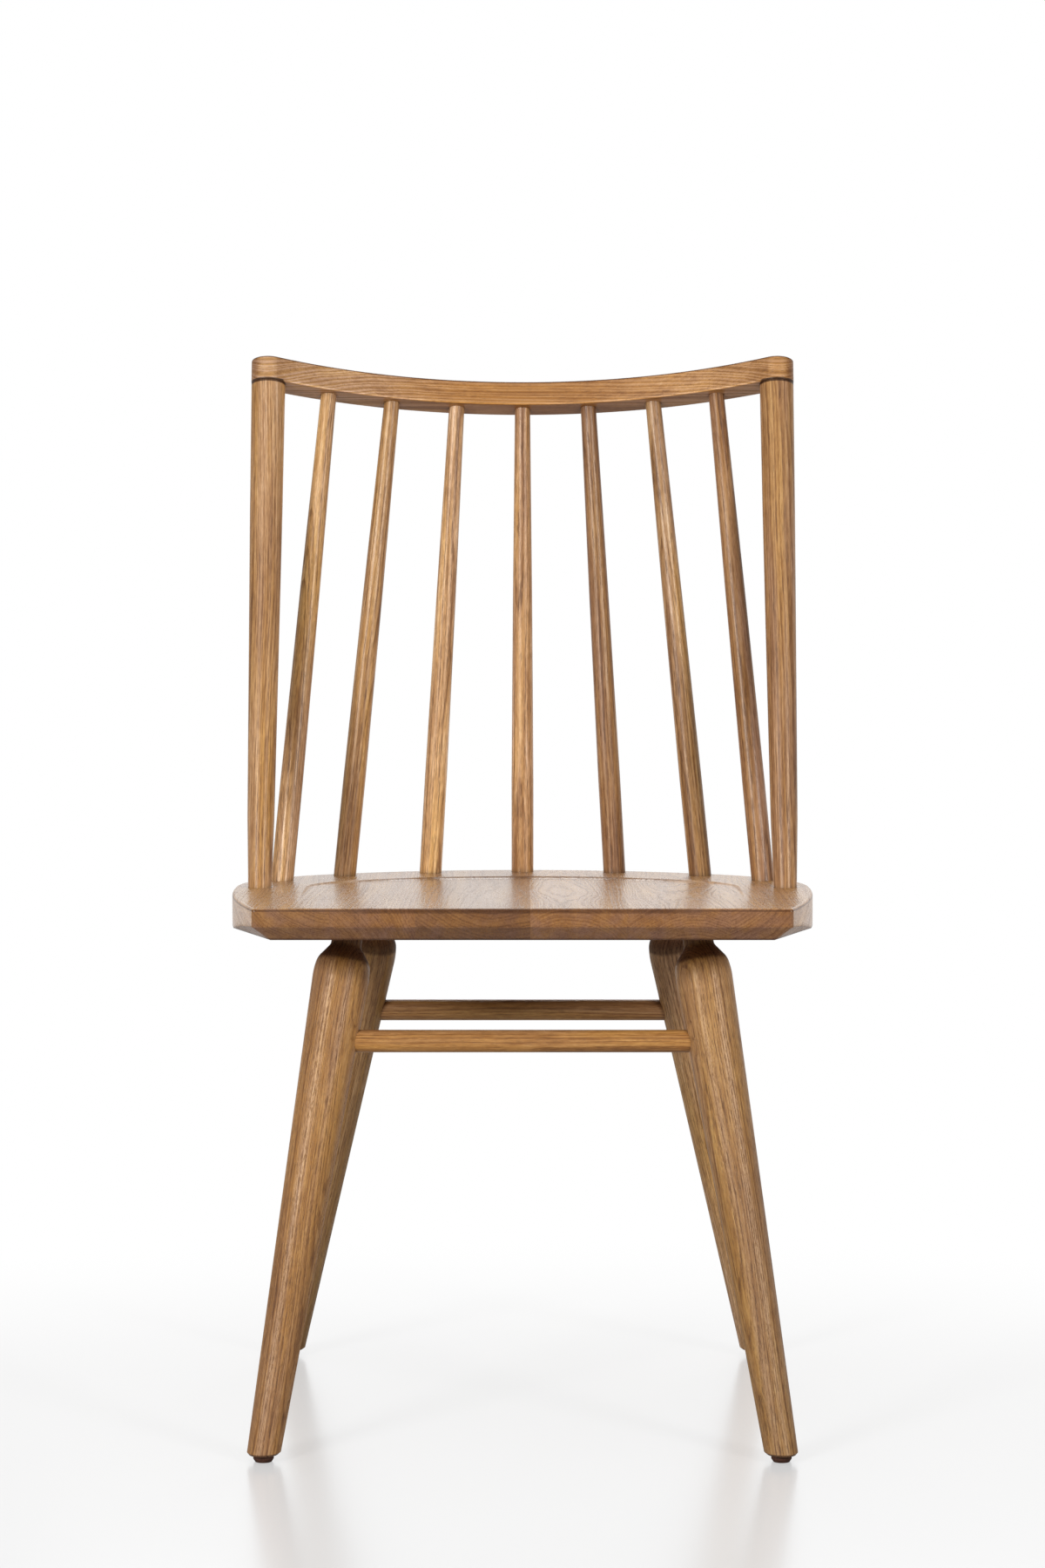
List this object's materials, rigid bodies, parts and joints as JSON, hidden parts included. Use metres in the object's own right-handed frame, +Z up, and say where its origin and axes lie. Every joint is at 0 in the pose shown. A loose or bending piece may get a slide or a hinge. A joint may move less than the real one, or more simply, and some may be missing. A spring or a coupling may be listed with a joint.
{
  "type": "windsor chair",
  "caption": "Armless wooden windsor chair: bowed crest rail on turned posts and tapered spindles, plank seat with a shallow dip, splayed turned legs with cross rungs, nail-on glides.",
  "frame": {"origin": "on the floor, under the middle of the seat's width and depth", "axes": "+Z up, the front faces -Y, and +X points to the right as seen from in front"},
  "size_m": [0.506, 0.444, 0.9305],
  "materials": {
    "seat_oak": "satin lacquer on stained oak",
    "back_oak": "satin lacquer on stained oak",
    "leg_oak": "satin lacquer on stained oak",
    "glide_plastic": "moulded, slightly worn",
    "nail_steel": "bright drawn wire"
  },
  "bodies": {
    "root": {"seat_board_1": "seat_oak", "seat_board_2": "seat_oak", "seat_board_3": "seat_oak", "seat_board_4": "seat_oak", "seat_board_5": "seat_oak", "seat_board_6": "seat_oak", "post_left": "back_oak", "post_right": "back_oak", "spindle_1": "back_oak", "spindle_2": "back_oak", "spindle_3": "back_oak", "spindle_4": "back_oak", "spindle_5": "back_oak", "spindle_6": "back_oak", "spindle_7": "back_oak", "crest_rail": "back_oak", "leg_front_left": "leg_oak", "leg_front_right": "leg_oak", "leg_rear_left": "leg_oak", "leg_rear_right": "leg_oak", "rung_front": "leg_oak", "rung_rear": "leg_oak", "glide_front_left": "glide_plastic", "glide_front_right": "glide_plastic", "glide_rear_left": "glide_plastic", "glide_rear_right": "glide_plastic", "glide_nail_front_left": "nail_steel", "glide_nail_front_right": "nail_steel", "glide_nail_rear_left": "nail_steel", "glide_nail_rear_right": "nail_steel"}
  },
  "joints": []
}
